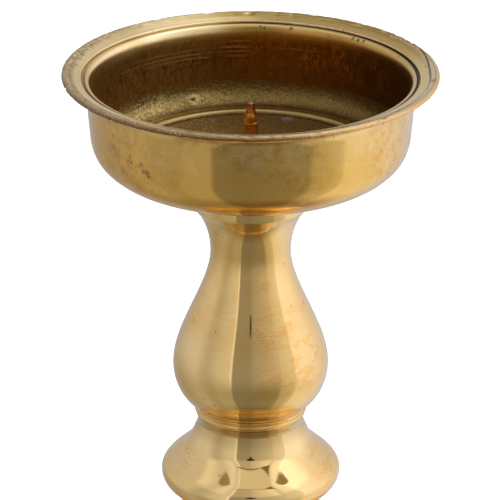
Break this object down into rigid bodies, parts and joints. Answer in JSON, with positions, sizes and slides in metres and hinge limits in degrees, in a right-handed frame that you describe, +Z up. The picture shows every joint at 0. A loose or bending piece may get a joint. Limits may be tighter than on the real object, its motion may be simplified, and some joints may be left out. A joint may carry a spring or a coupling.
{
  "type": "pricket candlestick",
  "caption": "Turned brass pricket candlestick with a deep drip bowl, a screwed-in spike, a baluster stem, a knop and a round domed foot.",
  "frame": {"origin": "middle of the felt's underside, on the table", "axes": "+Z up along the turning axis; +X and +Y are any two square directions, because the candlestick is round"},
  "size_m": [0.12, 0.12, 0.18],
  "materials": {
    "polished_brass": "polished and lacquered",
    "bowl_brass": "polished outside, worn and cast inside",
    "spike_bronze": "turned, unpolished, red-toned",
    "zinc_steel": "zinc plated",
    "green_felt": "pressed felt"
  },
  "bodies": {
    "stand": {"drip_bowl": "bowl_brass", "stem": "polished_brass", "collar_bead": "polished_brass", "knop": "polished_brass", "neck_bead": "polished_brass", "foot": "polished_brass", "base_felt": "green_felt", "coupling_nut": "zinc_steel", "tie_rod": "zinc_steel", "foot_washer": "zinc_steel", "lock_washer": "zinc_steel", "foot_nut": "zinc_steel"},
    "washer": {"spike_washer": "bowl_brass"},
    "spike": {"spike": "spike_bronze", "spike_nut": "bowl_brass"}
  },
  "joints": [
    {"name": "spike_rise", "type": "slide", "parent": "stand", "child": "washer", "axis": [0, 0, 1], "range_m": [0, 0.0084]},
    {"name": "spike_turn", "type": "hinge", "parent": "washer", "child": "spike", "pos_m": [0, 0, 0.145], "axis": [0, 0, 1], "range_deg": [0, 4320]}
  ],
  "couplings": [
    {"joint": "spike_turn", "follows": "spike_rise", "rad_per_m": 8976}
  ]
}
